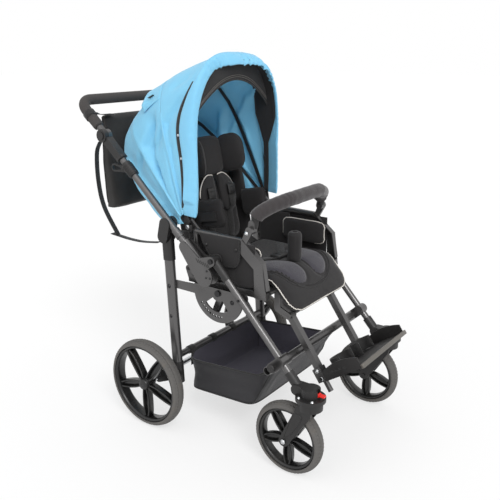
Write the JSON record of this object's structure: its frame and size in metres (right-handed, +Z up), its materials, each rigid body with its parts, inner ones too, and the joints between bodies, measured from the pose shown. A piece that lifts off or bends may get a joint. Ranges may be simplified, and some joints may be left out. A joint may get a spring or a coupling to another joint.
{
  "type": "special needs buggy",
  "caption": "Folding push buggy with a tilting, reclining padded seat, hood, padded bumper bar, foot support, basket and swivel casters.",
  "frame": {"origin": "on the floor under the middle of the overall box", "axes": "+Z up, the occupant faces -Y, +X is the occupant's left"},
  "size_m": [0.658, 1.0388, 1.1989],
  "materials": {
    "satin_graphite_tube": "satin",
    "black_nylon_plastic": "fine grain",
    "black_spoked_plastic": "satin",
    "red_plastic": "gloss",
    "zinc_steel": "plated",
    "grey_eva_tyre": "matt",
    "handle_foam": "matt foam",
    "charcoal_fabric": "plain weave",
    "grey_fabric": "plain weave",
    "black_webbing": "ribbed webbing",
    "bag_fabric": "coated weave",
    "basket_fabric": "coated weave",
    "sky_blue_fabric": "coated weave"
  },
  "bodies": {
    "chassis": {"lower_tubes": "satin_graphite_tube", "caster_housings": "black_nylon_plastic", "fold_knuckles": "black_nylon_plastic", "rear_legs": "satin_graphite_tube", "leg_saddles": "black_nylon_plastic", "sector_plates": "satin_graphite_tube", "rear_rail": "satin_graphite_tube", "front_cross_tube": "satin_graphite_tube", "axle_brackets": "black_nylon_plastic", "rear_axle_shaft": "zinc_steel", "basket": "basket_fabric", "chassis_bolts": "zinc_steel"},
    "upper_frame": {"upper_tubes": "satin_graphite_tube", "fold_cheeks": "black_nylon_plastic", "handle_hinges": "black_nylon_plastic", "bag": "bag_fabric", "bag_loops": "black_webbing", "bag_strap": "black_webbing"},
    "handle": {"handle_bar": "satin_graphite_tube", "handle_grip": "handle_foam"},
    "handle_button_l": {"handle_button_l": "black_nylon_plastic"},
    "handle_button_r": {"handle_button_r": "black_nylon_plastic"},
    "trigger_l": {"trigger_l": "black_nylon_plastic"},
    "trigger_r": {"trigger_r": "black_nylon_plastic"},
    "caster_l": {"caster_fork_l": "black_nylon_plastic"},
    "caster_r": {"caster_fork_r": "black_nylon_plastic"},
    "front_wheel_l": {"front_tyre_l": "grey_eva_tyre", "front_rim_l": "black_spoked_plastic"},
    "front_wheel_r": {"front_tyre_r": "grey_eva_tyre", "front_rim_r": "black_spoked_plastic"},
    "lock_lever_l": {"lock_lever_l": "red_plastic"},
    "lock_lever_r": {"lock_lever_r": "red_plastic"},
    "rear_wheel_l": {"rear_tyre_l": "grey_eva_tyre", "rear_rim_l": "black_spoked_plastic"},
    "rear_wheel_r": {"rear_tyre_r": "grey_eva_tyre", "rear_rim_r": "black_spoked_plastic"},
    "brake": {"brake_bar": "black_nylon_plastic"},
    "seat": {"seat_frame": "satin_graphite_tube", "seat_cushion": "charcoal_fabric", "hip_pads": "charcoal_fabric", "guard_plates": "satin_graphite_tube", "side_panels": "charcoal_fabric", "lap_belt": "black_webbing", "canopy_rear_bow": "black_nylon_plastic", "canopy_rear_cloth": "sky_blue_fabric"},
    "pommel": {"pommel": "charcoal_fabric"},
    "bumper": {"bumper_bar": "satin_graphite_tube", "bumper_sleeve": "grey_fabric"},
    "backrest": {"back_shell": "black_nylon_plastic", "back_cushion": "charcoal_fabric", "lateral_pads": "charcoal_fabric", "shoulder_straps": "black_webbing"},
    "headrest": {"headrest": "charcoal_fabric"},
    "legrest": {"legrest_frame": "satin_graphite_tube"},
    "footplate": {"footplate": "black_nylon_plastic", "heel_loops": "black_webbing"},
    "canopy_mid": {"canopy_mid_bow": "black_nylon_plastic"},
    "canopy_front": {"canopy_front_bow": "black_nylon_plastic", "canopy_front_cloth": "sky_blue_fabric"}
  },
  "joints": [
    {"name": "frame_fold", "type": "hinge", "parent": "chassis", "child": "upper_frame", "pos_m": [0, -0.06306, 0.606], "axis": [1, 0, 0], "range_deg": [0, 165], "deforming": ["bag", "bag_loops", "bag_strap", "canopy_rear_cloth", "canopy_front_cloth"]},
    {"name": "handle_tilt", "type": "hinge", "parent": "upper_frame", "child": "handle", "pos_m": [0, 0.38113, 0.94436], "axis": [1, 0, 0], "range_deg": [-60, 20], "deforming": ["bag", "bag_loops", "bag_strap"]},
    {"name": "handle_button_l_press", "type": "slide", "parent": "upper_frame", "child": "handle_button_l", "axis": [-1, 0, 0], "range_m": [0, 0.003], "stiffness_N_per_m": 800},
    {"name": "handle_button_r_press", "type": "slide", "parent": "upper_frame", "child": "handle_button_r", "axis": [1, 0, 0], "range_m": [0, 0.003], "stiffness_N_per_m": 800},
    {"name": "trigger_l_pull", "type": "slide", "parent": "upper_frame", "child": "trigger_l", "axis": [0, 0.7361, 0.6769], "range_m": [0, 0.012], "stiffness_N_per_m": 500},
    {"name": "trigger_r_pull", "type": "slide", "parent": "upper_frame", "child": "trigger_r", "axis": [0, 0.7361, 0.6769], "range_m": [0, 0.012], "stiffness_N_per_m": 500},
    {"name": "caster_l_swivel", "type": "hinge", "parent": "chassis", "child": "caster_l", "pos_m": [0.254, -0.41056, 0.25], "axis": [0, 0, 1], "continuous": true},
    {"name": "front_wheel_l_spin", "type": "hinge", "parent": "caster_l", "child": "front_wheel_l", "pos_m": [0.254, -0.34056, 0.114], "axis": [1, 0, 0], "continuous": true},
    {"name": "lock_lever_l_press", "type": "hinge", "parent": "chassis", "child": "lock_lever_l", "pos_m": [0.254, -0.43656, 0.2823], "axis": [1, 0, 0], "range_deg": [0, 20]},
    {"name": "rear_wheel_l_spin", "type": "hinge", "parent": "chassis", "child": "rear_wheel_l", "pos_m": [0.3055, 0.18644, 0.15], "axis": [1, 0, 0], "continuous": true},
    {"name": "caster_r_swivel", "type": "hinge", "parent": "chassis", "child": "caster_r", "pos_m": [-0.254, -0.41056, 0.25], "axis": [0, 0, 1], "continuous": true},
    {"name": "front_wheel_r_spin", "type": "hinge", "parent": "caster_r", "child": "front_wheel_r", "pos_m": [-0.254, -0.34056, 0.114], "axis": [1, 0, 0], "continuous": true},
    {"name": "lock_lever_r_press", "type": "hinge", "parent": "chassis", "child": "lock_lever_r", "pos_m": [-0.254, -0.43656, 0.2823], "axis": [1, 0, 0], "range_deg": [0, 20]},
    {"name": "rear_wheel_r_spin", "type": "hinge", "parent": "chassis", "child": "rear_wheel_r", "pos_m": [-0.3055, 0.18644, 0.15], "axis": [1, 0, 0], "continuous": true},
    {"name": "brake_pedal", "type": "hinge", "parent": "chassis", "child": "brake", "pos_m": [0, 0.18644, 0.15], "axis": [-1, 0, 0], "range_deg": [0, 22]},
    {"name": "seat_tilt", "type": "hinge", "parent": "chassis", "child": "seat", "pos_m": [0, -0.06426, 0.497], "axis": [-1, 0, 0], "range_deg": [0, 30], "deforming": ["bag", "bag_loops", "bag_strap"]},
    {"name": "pommel_lift", "type": "slide", "parent": "seat", "child": "pommel", "axis": [0, 0, 1], "range_m": [0, 0.06]},
    {"name": "bumper_swing", "type": "hinge", "parent": "seat", "child": "bumper", "pos_m": [0, -0.16506, 0.704], "axis": [1, 0, 0], "range_deg": [0, 70]},
    {"name": "back_recline", "type": "hinge", "parent": "seat", "child": "backrest", "pos_m": [0, 0.07124, 0.545], "axis": [-1, 0, 0], "range_deg": [0, 22], "deforming": ["canopy_rear_cloth"]},
    {"name": "headrest_slide", "type": "slide", "parent": "backrest", "child": "headrest", "axis": [0, 0.1994, 0.9799], "range_m": [0, 0.05]},
    {"name": "legrest_raise", "type": "hinge", "parent": "seat", "child": "legrest", "pos_m": [0, -0.25276, 0.434], "axis": [-1, 0, 0], "range_deg": [0, 45]},
    {"name": "footplate_flip", "type": "hinge", "parent": "legrest", "child": "footplate", "pos_m": [0, -0.37467, 0.26055], "axis": [-1, 0, 0], "range_deg": [0, 50]},
    {"name": "canopy_mid_fold", "type": "hinge", "parent": "seat", "child": "canopy_mid", "pos_m": [0, 0.06994, 0.696], "axis": [-1, 0, 0], "range_deg": [0, 17], "deforming": ["canopy_front_cloth", "canopy_rear_cloth"]},
    {"name": "canopy_front_fold", "type": "hinge", "parent": "canopy_mid", "child": "canopy_front", "pos_m": [0, 0.06994, 0.696], "axis": [-1, 0, 0], "range_deg": [0, 17], "deforming": ["canopy_front_cloth", "canopy_rear_cloth"]}
  ],
  "couplings": [
    {"joint": "canopy_front_fold", "follows": "canopy_mid_fold", "ratio": 1}
  ]
}
